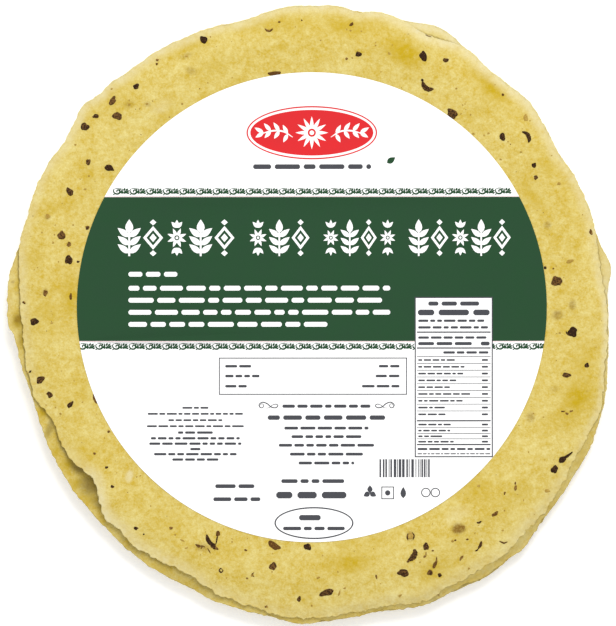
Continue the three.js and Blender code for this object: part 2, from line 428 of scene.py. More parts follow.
class Wafer:
    """One wafer, made ring by ring. Each point also has its place on the unrolled surface."""

    def __init__(self, number):
        self.number = number
        self.points = []
        self.spread = []

    def ring(self, angle, radius, height, unrolled):
        first = len(self.points)
        self.points.extend(zip(*place(radius, angle), height))
        self.spread.extend(zip(*place(unrolled, angle)))
        return list(range(first, first + len(angle)))

    def face_ring(self, angle, radius, upper):
        return self.ring(angle, radius, face_height(self.number, radius, angle, upper), radius)

    def middle(self, steps, radii, upper):
        """The rings of a face's covered middle, with the faces inside the first ring."""
        centre = self.face_ring(np.zeros(1), np.zeros(1), upper)[0]
        loops = [self.face_ring(around(steps), np.full(steps, radius), upper) for radius in radii]
        return loops, fan(centre, loops[0])

    def rim(self, angle, edge, half):
        """The rings around the rounded edge, from above to below."""
        number = self.number
        shoulder = edge - half
        high, low = (face_height(number, shoulder, angle, upper) for upper in (True, False))
        level = (high + low) / 2
        x, y = place(edge, angle)
        free = 1 - lying_share(number, angle)
        loops = []
        for step in range(1, ROUNDED_STEPS):
            turn = 90 - 180 * step / ROUNDED_STEPS
            rough = noise_sum(RIM_ROUGHNESS, x, y + ROUGHNESS_SHIFT * step, ROUGHNESS_SEED + number)
            swelling = noise_sum(SWELLING_WAVES, x - SWELLING_SHIFT * step, y, SWELLING_SEED + number)
            reach = (high - level if turn > 0 else level - low) + (RIM_SWELLING + swelling) * free
            radius = shoulder + (half + rough) * cosine(turn)
            height = np.maximum(0, level + reach * sine(turn))
            loops.append(self.ring(angle, radius, height, edge + half * (1 - sine(turn))))
        return loops

    def build(self, material):
        """Makes the piece: coarse where it is covered, fine where it shows, with a rounded crumbly rim."""
        fine_steps, coarse_steps, fine_from, ring_step = MESHES[max(self.number, LOWER)]
        angle = around(fine_steps)
        edge = crumbly_radius(self.number, angle)
        half = dough_thickness(edge) / 2
        loops, upward = self.middle(coarse_steps, COARSE_RADII[COARSE_RADII < fine_from], True)
        count = round((TOP_RADIUS - fine_from) / ring_step)
        for share in np.arange(count + 1) / count:
            loops.append(self.face_ring(angle, fine_from + (edge - half - fine_from) * share, True))
        loops += self.rim(angle, edge, half)
        low_loops, downward = self.middle(coarse_steps, COARSE_RADII, False)
        low_loops.append(self.face_ring(angle, edge - half, False))

        upward += stitch_all(loops)
        wall = stitch(loops[-1], low_loops[-1])
        downward += stitch_all(low_loops)
        faces = upward + wall + [face[::-1] for face in downward]
        thing = add_object(f"wafer_{self.number:02d}", self.points, faces, material)
        self.colour(thing)
        self.bake_map(thing.data, len(upward), len(wall))
        settle(thing, "dough", f"papadum_{self.number:02d}")

    def colour(self, thing):
        """Notes how pale, mustard and stained the dough is at each point, and where painted shade lies on it.
        """
        arcs, pale_spots, mustard_spots, least_mustard, stains, shades = BLOTCHES[max(self.number, LOWER)]
        points = np.array(self.points)
        radius, angle = polar(points[:, 0], points[:, 1])
        # Pale bands inside the rim: paler dough, partly a painted highlight
        pale = bands(arcs, wafer_radius(self.number, angle) - radius, angle, PALE_START)
        # Painted shade on the second wafer, in spots under and beside the top wafer's rim and in bands along
        # that rim
        painted_shade = spots(shades, points, FIRM)
        if self.number == SECOND:
            outside = radius - crumbly_radius(TOP, angle)
            painted_shade = np.maximum(painted_shade, bands(PAINTED_SHADE_BANDS, outside, angle, 0))
        add_number(thing, "pale", np.clip(np.maximum(pale, spots(pale_spots, points, SHARP)), 0, 1))
        add_number(thing, "mustard", np.maximum(spots(mustard_spots, points, SOFT), least_mustard))
        add_number(thing, "stain", spots(stains, points, SHARP))
        add_number(thing, "painted_shade", painted_shade)

    def bake_map(self, mesh, upper_faces, wall_faces):
        vertex = np.zeros(len(mesh.loops), int)
        mesh.loops.foreach_get("vertex_index", vertex)
        starts = np.zeros(len(mesh.polygons), int)
        mesh.polygons.foreach_get("loop_start", starts)
        wall_start, under_start = starts[upper_faces], starts[upper_faces + wall_faces]
        places = np.array(self.spread)[vertex]
        wall = places[wall_start:under_start].reshape(wall_faces, 4, 2)
        wall[:, 1] = wall[:, 0] * WALL_STRETCH
        wall[:, 2] = wall[:, 3] * WALL_STRETCH
        upper = (np.arange(len(vertex)) < under_start)[:, None]
        centre = np.where(upper, UPPER_ISLAND[:2], LOWER_ISLAND[:2])
        scale = np.where(upper, UPPER_ISLAND[2], LOWER_ISLAND[2]) / ISLAND_REACH
        layer = mesh.uv_layers.new(name="OFBake")
        layer.data.foreach_set("uv", (centre + places * scale).astype(np.float32).ravel())


# Oval spots on the dough: [angle, distance, length, width, turn, strength]. Their edges have three kinds.

SOFT = 1
FIRM = 1.5
SHARP = 2

MUSTARD = [
    [70, 85.5, 15, 8, -22, 1.0], [51, 89.5, 15, 6, -48, 1.0], [83, 89.2, 16, 6, -8, 0.8],
    [96, 89.5, 22, 6, 4, 0.5], [341.5, 88.5, 12, 9, 60, 1.0], [337, 87.5, 10, 8, 30, 0.6],
    [348, 87.5, 13, 7, 75, 0.5], [279, 81.5, 13, 7, 15, 0.8], [274.5, 81.3, 9, 6, 0, 0.5],
    [295, 91, 13, 7, 25, 0.6], [312, 77, 10, 8, 40, 0.6], [177, 76, 12, 6, 90, 0.85],
    [181, 84, 14, 9, 80, 0.45], [185, 83, 8, 6, 0, 0.4], [183, 93.5, 6, 3, 80, 0.6],
    [170, 88, 8, 6, 60, 0.35], [112.5, 81.5, 12, 8, 20, 0.35], [134, 89, 14, 10, 30, 0.35],
    [31, 86.5, 10, 6, -60, 0.5], [27, 78, 12, 7, -60, 0.45], [317, 87, 12, 8, 40, 0.45],
    [212, 84, 14, 10, -50, 0.35], [235, 83, 18, 9, -40, 0.2], [241, 86, 14, 8, -25, 0.12],
    [255, 86, 18, 12, -20, 0.15], [115, 90.5, 14, 5, 22, 0.45], [22, 88.5, 12, 9, -70, 0.2],
    [126, 76, 10, 6, 40, 0.4], [201, 76, 12, 7, -60, 0.3], [302, 88, 12, 8, 35, 0.35],
]
STAINS = [
    [303.4, 83.6, 3.9, 3.2, 20, 1.15], [304.3, 84.2, 1.8, 2.4, 10, 1.3], [333.3, 77.1, 2.8, 3.4, 0, 0.45],
    [358.1, 77.4, 3.4, 3.0, 0, 0.6], [0.4, 82.1, 2.2, 3.2, 0, 0.6], [19.1, 78.6, 2.2, 2.6, 0, 0.5],
    [161.2, 88.1, 1.8, 1.8, 0, 0.5], [176.8, 84.1, 1.8, 2.2, 0, 0.6], [245.5, 83.1, 5, 2.6, -10, 0.5],
    [341.3, 80.6, 3, 2, 0, 0.25], [293.4, 78.5, 2.6, 3.2, 0, 0.5], [116.6, 88.6, 4, 1.6, 20, 0.35],
    [117, 83.6, 3.6, 2.4, -20, 0.35], [129, 82.3, 2.2, 1.8, 0, 0.35], [132, 86, 3.4, 2.6, 10, 0.3],
]
PALE_SPOTS = [[222.8, 78.4, 2.4, 3.8, -15, 0.9], [127, 79, 7, 4, 30, 0.35], [305, 80, 9, 5, 30, 0.3]]
SECOND_MUSTARD = [
    [182.5, 92.9, 4, 5, 0, 0.9], [175.4, 93.4, 3, 6, 0, 0.5], [187, 92, 3, 7, 0, 0.8],
    [201.2, 91, 4, 4, 0, 1.0], [209.4, 92.4, 3, 4, 0, 0.8], [212.7, 91.2, 3, 5, -50, 0.9],
    [216.7, 92.6, 3, 5, -50, 0.8], [220.9, 92.8, 4, 5, -50, 0.6], [225.5, 93.9, 5, 3, -45, 0.4],
    [240.1, 95, 5, 3, -30, 0.4], [247, 95.6, 7, 3, -25, 0.3], [253, 96.4, 6, 2.5, -20, 0.3],
    [300, 99.4, 8, 2.5, 30, 0.6], [320, 97.8, 9, 2.5, 50, 0.6], [331, 97, 7, 2.5, 60, 0.5],
    [283, 98, 8, 2.5, 12, 0.5], [267, 98.6, 8, 2, 0, 0.5],
]
SECOND_STAINS = [
    [182.3, 92.8, 2.2, 2.4, 0, 0.6], [175.2, 94.6, 0.9, 0.9, 0, 0.6], [177.3, 93.3, 0.9, 0.9, 0, 0.5],
    [293.7, 98.6, 1.8, 0.7, -60, 1.0], [290.3, 98.3, 1.5, 0.8, 20, 0.9],
]
# Spots of painted shade on the second wafer: in the pocket under the top wafer's lifted rim and beside that
# rim
SECOND_PAINTED_SHADES = [
    [218.7, 89.4, 8, 7, -42, 0.9], [222.8, 91.2, 9, 4, -47, 0.55], [214.6, 89, 8, 4.5, -35, 0.85],
    [204.5, 90.4, 2.6, 9, -25, 0.6], [182.6, 92.6, 3.6, 5, 0, 0.55], [186, 92, 2.6, 6, 0, 0.4],
    [201.2, 90, 2.6, 3, 0, 0.5], [246, 95.5, 26, 5, -24, 0.25], [233, 94.5, 14, 5, -37, 0.25],
]
# Bands along a rim: [angle, half width in degrees, strength, width]. The first table is painted shade on the
# second wafer, beside the top one's rim. The others are pale bands inside a wafer's own rim: paler dough,
# partly a painted highlight.
PAINTED_SHADE_BANDS = [
    [170, 12, 0.75, 0.9], [190, 12, 0.65, 0.9], [65, 3, 0.9, 0.6], [352, 13, 0.7, 0.5], [8, 6, 0.5, 0.6],
    [236, 11, 0.25, 1.2], [305, 45, 0.3, 7], [211, 8, 0.8, 1.3],
]
PALE_ARCS = [
    [48, 24, 0.85, 4.4], [78, 20, 0.5, 3.6], [110, 24, 0.6, 3.8], [142, 22, 0.6, 4], [16, 14, 0.4, 4],
    [180, 15, 0.45, 4], [221, 8, 0.75, 5], [238, 16, 0.65, 4.6], [276, 18, 0.3, 5.5], [300, 16, 0.3, 5.5],
    [318, 10, 0.4, 5], [340, 10, 0.5, 2.4], [356, 10, 0.7, 2.4],
]
SECOND_PALE_ARCS = [[66, 12, 1.0, 4], [178, 14, 0.25, 3], [0, 12, 0.9, 5], [305, 45, 0.2, 8]]
LOWER_PALE_ARCS = [[0, 1000, 0.2, 4]]
PALE_START = 0.6
SECOND_LEAST_MUSTARD = 0.05
LOWER_LEAST_MUSTARD = 0.15
# Pale bands, pale spots, mustard spots, the least mustard anywhere, stains and spots of painted shade
BLOTCHES = {
    TOP: [PALE_ARCS, PALE_SPOTS, MUSTARD, 0, STAINS, []],
    SECOND: [SECOND_PALE_ARCS, [], SECOND_MUSTARD, SECOND_LEAST_MUSTARD, SECOND_STAINS, SECOND_PAINTED_SHADES],
    LOWER: [LOWER_PALE_ARCS, [], [], LOWER_LEAST_MUSTARD, [], []],
}


def bands(rows, away, angle, start):
    """How strong the bands are at points this far away from the rim."""
    total = np.zeros_like(angle)
    for centre, half_width, strength, width in rows:
        arc = bump_sum([[centre, half_width, strength]], angle)
        total = total + arc * (1 - smoothstep(away, start, width))
    return total


def spots(rows, points, edge):
    """How much of each point is covered by the spots."""
    total = np.zeros(len(points))
    for angle, distance, length, width, turn, strength in rows:
        x, y = place(distance, angle)
        along, across = turned(points[:, 0] - x, points[:, 1] - y, -turn)
        away = (along / (length / 2)) ** 2 + (across / (width / 2)) ** 2
        total = np.maximum(total, strength * np.exp(-(away**edge)))
    return total


# Materials. Noise is [hill size, detail, roughness]. A cloud goes on with the range of its noise that counts,
# and may end with what that is spread over. A bump goes on with its depth and strength.
# A finish is [roughness, specular level].

NOISE_MEAN = 0.5
# Mottling of the dough: [hill size, strength]
MOTTLING = [[15, 0.7], [4.5, 1.1], [1.6, 1.35], [0.7, 1.2], [0.38, 0.7]]
MOTTLING_GRAIN = [3.0, 0.6]
MUSTARD_PATCHES = [13, 3.0, 0.6, 0.56, 0.74, 0.0, 0.45]
# What lies over the mottled dough, from the bottom up: its number in the mesh, its colour, and its clouds
DOUGH_LAYERS = [
    ["mustard", DOUGH_MUSTARD, [2.2, 4.0, 0.75, 0.3, 0.7, 0.55, 1.4]],
    # Paler dough, partly a painted highlight on the rims
    ["pale", DOUGH_PALE, [2.6, 4.0, 0.7, 0.3, 0.7, 0.45, 1.25]],
    # Painted shade
    ["painted_shade", PAINTED_SHADE_COLOUR, [1.6, 4.0, 0.7, 0.3, 0.7, 0.75, 1.1]],
    ["stain", DOUGH_STAIN, [0.9, 4.0, 0.75, 0.36, 0.62, 0.45, 1.25]],
]
DOUGH_FINISH = [0.85, 0.15]
DOUGH_BUMPS = [[1.8, 4.0, 0.7, 0.36, 0.8], [0.6, 3.0, 0.7, 0.12, 0.8]]
PEPPER_GRAIN = [0.5, 4.0, 0.75]
PEPPER_WORN = [0.48, 0.66]
PEPPER_FINISH = [0.7, 0.1]
PEPPER_BUMPS = [[0.45, 3.0, 0.7, 0.12, 0.8]]
PRINT_CLOUDS = [7, 4.0, 0.6, 0.3, 0.7]
PRINT_SPECULAR = 0.1
PRINT_BUMPS = [[0.5, 3.0, 0.6, 0.02, 0.25]]


class Nodes:
    """A material's nodes, with short calls to make and join them."""

    def __init__(self, name):
        self.material = bpy.data.materials.new(name)
        self.material.use_nodes = True
        self.tree = self.material.node_tree
        self.shader = self.tree.nodes["Principled BSDF"]
        self.place = self.make("ShaderNodeTexCoord", "Object", {})

    def feed(self, node, inputs):
        """Gives a node's sockets the outputs of other nodes, or plain values."""
        for name, value in inputs.items():
            if isinstance(value, bpy.types.NodeSocket):
                self.tree.links.new(value, node.inputs[name])
            else:
                node.inputs[name].default_value = value

    def make(self, kind, output, inputs, **settings):
        """Adds a node and gives one of its outputs."""
        node = self.tree.nodes.new(kind)
        for name, value in settings.items():
            setattr(node, name, value)
        self.feed(node, inputs)
        return node.outputs[output]

    def noise(self, size, detail, roughness):
        """Random numbers with hills about size apart."""
        inputs = {"Vector": self.place, "Scale": 1 / (size * MM), "Detail": detail, "Roughness": roughness}
        return self.make("ShaderNodeTexNoise", "Fac", inputs)

    def spread(self, value, low, high, to_low=0.0, to_high=1.0):
        inputs = dict(enumerate((value, low, high, to_low, to_high)))
        return self.make("ShaderNodeMapRange", "Result", inputs, clamp=True)

    def cloud(self, size, detail, roughness, *limits):
        return self.spread(self.noise(size, detail, roughness), *limits)

    def number(self, name):
        return self.make("ShaderNodeAttribute", "Fac", {}, attribute_name=name)

    def reckon(self, operation, first, second):
        return self.make("ShaderNodeMath", 0, {0: first, 1: second}, operation=operation)

    def mix(self, share, first, second):
        """A mixture of two colours, which are the node's sockets 6 and 7, and its output 2."""
        return self.make("ShaderNodeMix", 2, {0: share, 6: first, 7: second}, data_type="RGBA")

    def finish(self, colour, finish, bumps):
        surface = {"Base Color": colour, "Roughness": finish[0], "Specular IOR Level": finish[1]}
        for size, detail, roughness, depth, strength in bumps:
            height = self.noise(size, detail, roughness)
            inputs = {"Height": height, "Distance": depth * MM, "Strength": strength}
            if "Normal" in surface:
                inputs["Normal"] = surface["Normal"]
            surface["Normal"] = self.make("ShaderNodeBump", "Normal", inputs)
        self.feed(self.shader, surface)
        return self.material


def dough_material():
    nodes = Nodes("dried_lentil_dough")
    tone = NOISE_MEAN
    for size, strength in MOTTLING:
        hills = nodes.reckon("SUBTRACT", nodes.noise(size, *MOTTLING_GRAIN), NOISE_MEAN)
        tone = nodes.reckon("ADD", nodes.reckon("MULTIPLY", hills, strength), tone)
    colour = nodes.mix(nodes.spread(tone, 0.0, 1.0), linear(DOUGH_DARK), linear(DOUGH_LIGHT))
    for name, tint, clouds in DOUGH_LAYERS:
        cover = nodes.number(name)
        if name == "mustard":
            cover = nodes.reckon("MAXIMUM", cover, nodes.cloud(*MUSTARD_PATCHES))
        colour = nodes.mix(nodes.reckon("MULTIPLY", cover, nodes.cloud(*clouds)), colour, linear(tint))
    return nodes.finish(colour, DOUGH_FINISH, DOUGH_BUMPS)


def pepper_material(name, dark, light):
    nodes = Nodes(name)
    wear = nodes.reckon("ADD", nodes.noise(*PEPPER_GRAIN), nodes.number("wear"))
    colour = nodes.mix(nodes.spread(wear, *PEPPER_WORN), linear(dark), linear(light))
    return nodes.finish(colour, PEPPER_FINISH, PEPPER_BUMPS)


def print_material(name, colour, cloudy, roughness, lift=1.0):
    """Ink or bare coated paper: nearly even, with the paper's faint cloudiness and fibres."""
    nodes = Nodes(name)
    colour = nodes.mix(nodes.cloud(*PRINT_CLOUDS), linear(colour, lift), linear(cloudy, lift))
    return nodes.finish(colour, [roughness, PRINT_SPECULAR], PRINT_BUMPS)


# Smooth lines


def curve(points, steps):
    """A smooth curve through the points, with this many steps between one and the next."""
    points = np.array(points, float)
    ends = np.vstack([2 * points[0] - points[1], points, 2 * points[-1] - points[-2]])
    t = np.arange(steps)[:, None] / steps
    parts = []
    for a, b, c, d in zip(ends, ends[1:], ends[2:], ends[3:]):
        bend, twist = a - 2.5 * b + 2 * c - d / 2, 1.5 * (b - c) + (d - a) / 2
        parts.append(b + t * (c - a) / 2 + t**2 * bend + t**3 * twist)
    return np.vstack(parts + [points[-1:]])


def leftward(path):
    """The direction to the left at each point of a path, and the share of the way that lies behind it."""
    heading = np.gradient(path, axis=0)
    left = np.column_stack([-heading[:, 1], heading[:, 0]]) / np.hypot(*heading.T)[:, None]
    return left, np.arange(len(path)) / (len(path) - 1)


# Pepper and husks in the top wafer. A grain is [angle, distance, length, width, turn].

PEPPER_SEED = 3
GRAIN_HEIGHT = 0.28
SMALL_HEIGHT = 0.14
DUST_HEIGHT = 0.06
# How much more or less worn one grain is than another
WEAR = [-0.08, 0.08]
GRAIN_SIDES = 18
SPECK_SIDES = 7
# Waves of a grain's outline: [number of crests, height]
GRAIN_WAVES = [[2, 0.09], [3, 0.10], [4, 0.06], [5, 0.05], [7, 0.03]]
# A grain's rings, from its foot up: [share of its width, share of its height], and the height of its middle
GRAIN_RINGS = [[1.0, -0.3], [0.99, 0.3], [0.84, 0.75], [0.48, 1.0]]
GRAIN_TOP = 0.9
GRAIN_UNEVENNESS = 0.12
# Beside and under the label a grain is pressed into the dough
PRESSED_HEIGHT = 0.03
PRESSED_REACH = [73.8, 74.8]

COARSE_PEPPER = [
    [112, 91, 2.4, 2.4, 0], [128.5, 89, 2, 1.7, 20], [134, 90.5, 3, 1.9, 55], [138.5, 91, 1.9, 1.4, 15],
    [135.5, 86, 3.1, 2.4, 0], [141.5, 91.5, 2.7, 2.5, 10], [147, 84, 1.8, 1.6, 80],
    [145.5, 77.5, 3.1, 1.9, -25], [154.5, 84.5, 2.7, 2, -45], [164, 82, 2.9, 2.3, 75],
    [169, 78, 2.9, 2.4, 70], [183, 87.5, 2.5, 2.4, 20], [195, 88.5, 2.7, 2.2, 50], [198.5, 87, 2, 1.7, -35],
    [192.9, 91, 0.9, 0.6, 60], [261.5, 82.5, 2.6, 2.2, 80], [294, 91.5, 1.9, 1.6, 80],
    [289, 88.5, 3.9, 2.2, -3], [295.5, 83.5, 2.5, 1.7, 80], [273, 90, 4.4, 2.2, 15],
    [326.2, 91.9, 2.5, 2.2, 75], [345, 83, 2.6, 1.6, -10], [6, 77.5, 3.4, 3.1, 45],
    [354.5, 82.5, 3.1, 3, -20], [66, 86.5, 3.1, 2.4, 100], [61.5, 88.5, 1.8, 1.4, -15],
    [79.5, 81, 1.9, 1.7, 20], [54, 75.3, 3.9, 2.6, -42], [269, 75.5, 2.5, 2, 0],
    [247.6, 81.4, 2.2, 1.5, -60], [202, 82, 2.5, 1.4, 55],
]
FINE_PEPPER = [
    [169, 75, 0.9, 0.8, 0], [160.5, 75, 1.4, 1.2, 20], [267.5, 92, 1.7, 1.3, 80], [295.5, 93.5, 1.3, 1.2, 0],
    [348, 88.5, 1.6, 1.4, 0], [9.5, 74.5, 1, 0.9, 0], [30, 81.5, 1.4, 1.3, 0], [222, 84.5, 1.1, 1, 0],
    [218, 82, 1, 0.8, 30], [231.5, 89, 1.5, 1, -15], [233.5, 89, 0.6, 0.5, 0], [32.5, 83, 1.7, 1.4, 45],
]
BROWN_HUSKS = [
    [179.1, 90.7, 1.3, 0.7, -30], [165.5, 79, 1.6, 1.3, 90], [177.5, 76, 2, 0.9, 90],
    [177, 84, 1.9, 1.4, 90], [203, 74, 3.1, 1.5, -60], [261, 76, 4.1, 2.3, -35],
    [247.5, 77.2, 2.0, 1.25, 80], [294.3, 86.2, 0.8, 0.7, 30], [301.6, 86.2, 0.7, 0.6, 0],
    [303.8, 88, 0.8, 0.6, 0], [295.6, 93.1, 0.9, 0.5, 0], [256.6, 87.8, 0.7, 0.6, 0],
    [261.3, 95.4, 0.9, 0.7, 20], [254.8, 79.3, 1.0, 0.6, -30], [296.4, 85.6, 0.7, 0.6, 0],
    [311.5, 87, 2.5, 1.1, 30], [337.4, 85.6, 1.2, 0.5, 0], [337.3, 87, 1.3, 0.6, -25],
    [338.1, 88, 1.1, 0.6, 10], [9, 77, 0.6, 0.5, 0], [15, 91, 1.7, 1.1, -70], [48, 90, 0.9, 0.8, 0],
    [82, 79, 0.9, 0.8, 0], [82, 90, 1.6, 0.9, 50], [96.5, 90.5, 0.8, 0.7, 0], [92, 90.5, 0.5, 0.5, 0],
    [99, 74.5, 4.4, 1.5, 5], [122.5, 91, 0.8, 0.7, 0], [122, 92, 1.0, 0.8, 0], [214, 82.5, 0.9, 0.8, 0],
    [211.5, 75, 1, 0.8, 0], [237.5, 82.5, 1.1, 1, 0], [244.5, 83.2, 1.6, 0.8, -20], [316, 84.4, 1, 0.6, 70],
]
TAN_HUSKS = [
    [161, 88, 1.6, 1.4, 90], [322, 94, 1.6, 1.2, 0], [313, 77, 0.9, 0.8, 0], [10, 82.5, 2.2, 1.2, 20],
    [41.5, 90, 2.4, 1.3, 90], [26.5, 87, 1.2, 0.9, 30], [73, 83.5, 0.9, 0.8, 0], [82, 88, 0.7, 0.5, 0],
    [257.5, 86.5, 1, 0.8, 0], [287, 95, 1.2, 0.7, 40], [132.5, 93.5, 0.7, 0.6, 0], [132, 86, 0.8, 0.6, 0],
    [129, 82.5, 0.8, 0.6, 0], [145.5, 90.5, 0.7, 0.6, 0], [149.5, 81.5, 0.7, 0.5, 0],
    [152.5, 80.5, 0.8, 0.6, 0], [122.5, 76, 0.7, 0.6, 0], [116.5, 88.5, 0.9, 0.6, 0],
    [161, 79.5, 0.6, 0.5, 0], [166, 84, 0.7, 0.6, 0], [179, 90.5, 0.6, 0.5, 0], [183.5, 82, 0.8, 0.6, 0],
    [193, 92, 0.7, 0.5, 0], [203, 86, 0.7, 0.6, 0], [270, 94, 0.7, 0.5, 0], [261.5, 95.5, 0.7, 0.6, 0],
    [271.4, 85.2, 1.3, 0.6, 20], [301, 86, 0.9, 0.7, 0], [310.5, 92.5, 0.7, 0.5, 0], [301, 96, 0.7, 0.6, 0],
    [44.5, 78, 0.8, 0.6, 0], [56.5, 82.5, 0.7, 0.6, 0], [47, 74.6, 0.9, 0.6, 0], [36.5, 82, 0.7, 0.5, 0],
    [38, 75.5, 0.7, 0.6, 0], [354, 78.5, 0.7, 0.5, 0], [241, 84, 1.4, 0.5, -30], [242.5, 85.5, 1, 0.5, 20],
    [293.4, 78.4, 2.6, 1.8, 85], [275.5, 90.5, 1.7, 0.6, 75], [276.7, 89.1, 0.9, 0.6, 30],
]
# Curved grains and strokes: the points of the curve, then the greatest width
DARK_STROKES = [
    [[30.4, -79.8], [31.6, -79.0], [32.5, -77.6], [32.3, -76.2], 1.9], [[29.9, -80.2], [30.8, -79.9], 0.8],
    [[53.4, -73.7], [53.1, -74.9], [52.4, -76.0], 1.0], [[52.5, -76.0], [51.9, -76.6], [51.4, -76.8], 0.5],
    [[34.9, 71.0], [35.4, 69.6], [36.6, 68.6], [38.4, 68.7], 1.7], [[34.6, 71.8], [35.1, 71.1], 0.9],
    [[60.3, 54.8], [60.0, 53.6], [60.6, 52.4], 1.9],
    [[66.3, 55.2], [67.8, 54.5], [68.5, 53.0], [68.3, 51.8], 1.4],
    [[-33.1, -71.6], [-32.7, -73.2], [-31.7, -74.5], [-30.3, -74.9], 1.4],
    [[-30.2, -74.8], [-29.9, -73.2], [-29.6, -71.9], 0.5],
    [[-28.2, -82.6], [-28.7, -82.3], [-29.1, -82.9], [-28.6, -83.5], [-28.0, -83.1], [-28.2, -82.6], 0.5],
    [[30.3, -71.2], [30.1, -72.4], [30.3, -73.4], 0.6], [[31.6, -70.9], [32.2, -72.0], [31.9, -73.2], 0.5],
    [[82.0, -9.2], [80.6, -8.6], [80.0, -7.7], 0.6], [[77.9, -48.9], [78.8, -48.1], [80.0, -47.3], 1.9],
    [[78.0, -47.5], [79.3, -47.5], [80.6, -46.8], [82.1, -45.6], 0.9],
    [[51.9, -67.8], [52.6, -67.9], [53.4, -67.4], 0.7],
]
BROWN_STROKES = [
    [[64.1, -55.0], [64.0, -56.0], 0.5], [[64.2, -56.1], [64.1, -57.0], [64.0, -57.8], 0.9],
    [[59.0, -73.7], [60.0, -74.1], [60.5, -74.3], [61.6, -73.9], 0.6],
    [[47.7, -78.3], [47.1, -78.9], [46.6, -79.8], 0.8], [[39.3, -78.6], [39.2, -80.4], [38.6, -82.2], 0.6],
    [[39.3, -80.0], [38.7, -81.0], [38.2, -82.2], 1.1], [[36.0, -77.0], [35.9, -78.6], 0.4],
    [[20.2, -84.2], [20.5, -85.6], 0.6], [[-14.8, 87.8], [-13.9, 87.1], [-12.9, 87.2], [-12.3, 87.9], 0.8],
    [[-30.8, -75.1], [-30.1, -75.9], [-29.4, -76.3], 0.9],
    [[-18.2, -83.5], [-18.8, -84.3], [-18.1, -84.9], 0.5], [[-36.0, -75.6], [-35.0, -75.3], 0.5],
    # The first stroke on the next line, along the top wafer's rim at the lip, is painted shadow
    [[35.8, 85.9], [36.6, 85.5], [37.8, 85.2], 0.3], [[-35.7, -75.4], [-34.6, -75.2], [-33.5, -75.6], 0.4],
    [[-32.8, -75.9], [-32.3, -76.8], [-31.9, -77.5], 0.4], [[-34.4, -75.3], [-34.9, -76.1], 0.4],
]
STROKE_STEPS = 12
# Shape of a stroke across it: [share of half its width, share of its height]
STROKE_PROFILE = [[-1, -0.3], [-0.9, 0.35], [-0.5, 0.85], [0, 1], [0.5, 0.85], [0.9, 0.35], [1, -0.3]]
# Its tips' width, how fast it widens from them, its unevenness, and its height as [least, more by its width]
STROKE_TIP = 0.25
STROKE_WIDENING = 0.7
STROKE_UNEVENNESS = 0.15
STROKE_HEIGHT = [0.05, 0.2]
# Fine husk dust: how far it keeps from the label and the rim, and how wide a speck is by its length
DUST_MARGINS = [0.5, 1.5]
DUST_WIDTH = [0.4, 0.9]

# The kinds of pepper: its colour, its worn colour, tables of grains with their heights, strokes, and how many
# specks of dust with their least and greatest length
KINDS_OF_PEPPER = {
    "dark": ["301C0D", "7E5A2C", [[COARSE_PEPPER, GRAIN_HEIGHT], [FINE_PEPPER, SMALL_HEIGHT]], DARK_STROKES,
             [0, 0, 0]],
    "brown": ["5F3E16", "A27C3E", [[BROWN_HUSKS, SMALL_HEIGHT]], BROWN_STROKES, [30, 0.25, 0.45]],
    "tan": ["AC8A3C", "C6A654", [[TAN_HUSKS, SMALL_HEIGHT]], [], [120, 0.3, 0.7]],
}


class Grains:
    """Many small closed grains that lie in the top wafer's face, gathered in one mesh."""

    def __init__(self, random):
        self.random = random
        self.points = []
        self.faces = []
        self.wear = []

    def add_points(self, x, y, rise, height, wear):
        """Points over the top wafer's face, by a share of the height that the label leaves free."""
        press = smoothstep(np.hypot(x, y), *PRESSED_REACH)
        free = np.minimum(height, PRESSED_HEIGHT + (height - PRESSED_HEIGHT) * press)
        first = len(self.points)
        self.points.extend(zip(x, y, face_height(TOP, *polar(x, y), True) + rise * free))
        self.wear.extend([wear] * len(x))
        return list(range(first, first + len(x)))

    def grain(self, row, height, sides):
        angle, distance, length, width, turn = row
        wear = self.random.uniform(*WEAR)
        middle = place(distance, angle)
        way = around(sides)
        phases = self.random.uniform(0, 360, len(GRAIN_WAVES))
        edge = 1 + sum(h * cosine(n * way + phase) for (n, h), phase in zip(GRAIN_WAVES, phases))
        x, y = turned(edge * cosine(way) * length / 2, edge * sine(way) * width / 2, turn)
        rings = []
        for share, rise in GRAIN_RINGS:
            if rise > 0:
                rise = rise + GRAIN_UNEVENNESS * self.random.uniform(-1, 1, sides)
            rings.append(self.add_points(middle[0] + share * x, middle[1] + share * y, rise, height, wear))
        for lower, upper in zip(rings, rings[1:]):
            self.faces += stitch(upper, lower)
        for ring, rise in ((rings[-1], GRAIN_TOP), (rings[0][::-1], GRAIN_RINGS[0][1])):
            tip = self.add_points(*np.reshape(middle, (2, 1)), rise, height, wear)[0]
            self.faces += fan(tip, ring)

    def stroke(self, points, width):
        wear = self.random.uniform(*WEAR)
        path = curve(points, STROKE_STEPS)
        side, share = leftward(path)
        swelling = STROKE_TIP + (1 - STROKE_TIP) * np.sin(math.pi * share) ** STROKE_WIDENING
        half = width / 2 * swelling * (1 + STROKE_UNEVENNESS * self.random.uniform(-1, 1, len(path)))
        height = min(GRAIN_HEIGHT, STROKE_HEIGHT[1] * width + STROKE_HEIGHT[0])
        rails = []
        for reach, rise in STROKE_PROFILE:
            rails.append(self.add_points(*(path + side * (reach * half)[:, None]).T, rise, height, wear))
        for right, left in zip(rails, rails[1:] + rails[:1]):
            self.faces += zip(right, right[1:], left[1:], left)
        self.faces.append([rail[0] for rail in rails])
        self.faces.append([rail[-1] for rail in rails][::-1])

    def dust(self, count, least, greatest):
        random = self.random
        for _ in range(count):
            angle = random.uniform(0, 360)
            reach = wafer_radius(TOP, np.array([angle]))[0] - DUST_MARGINS[1]
            distance = random.uniform(LABEL_RADIUS + DUST_MARGINS[0], reach)
            length = random.uniform(least, greatest)
            row = [angle, distance, length, length * random.uniform(*DUST_WIDTH), random.uniform(0, 180)]
            self.grain(row, DUST_HEIGHT, SPECK_SIDES)


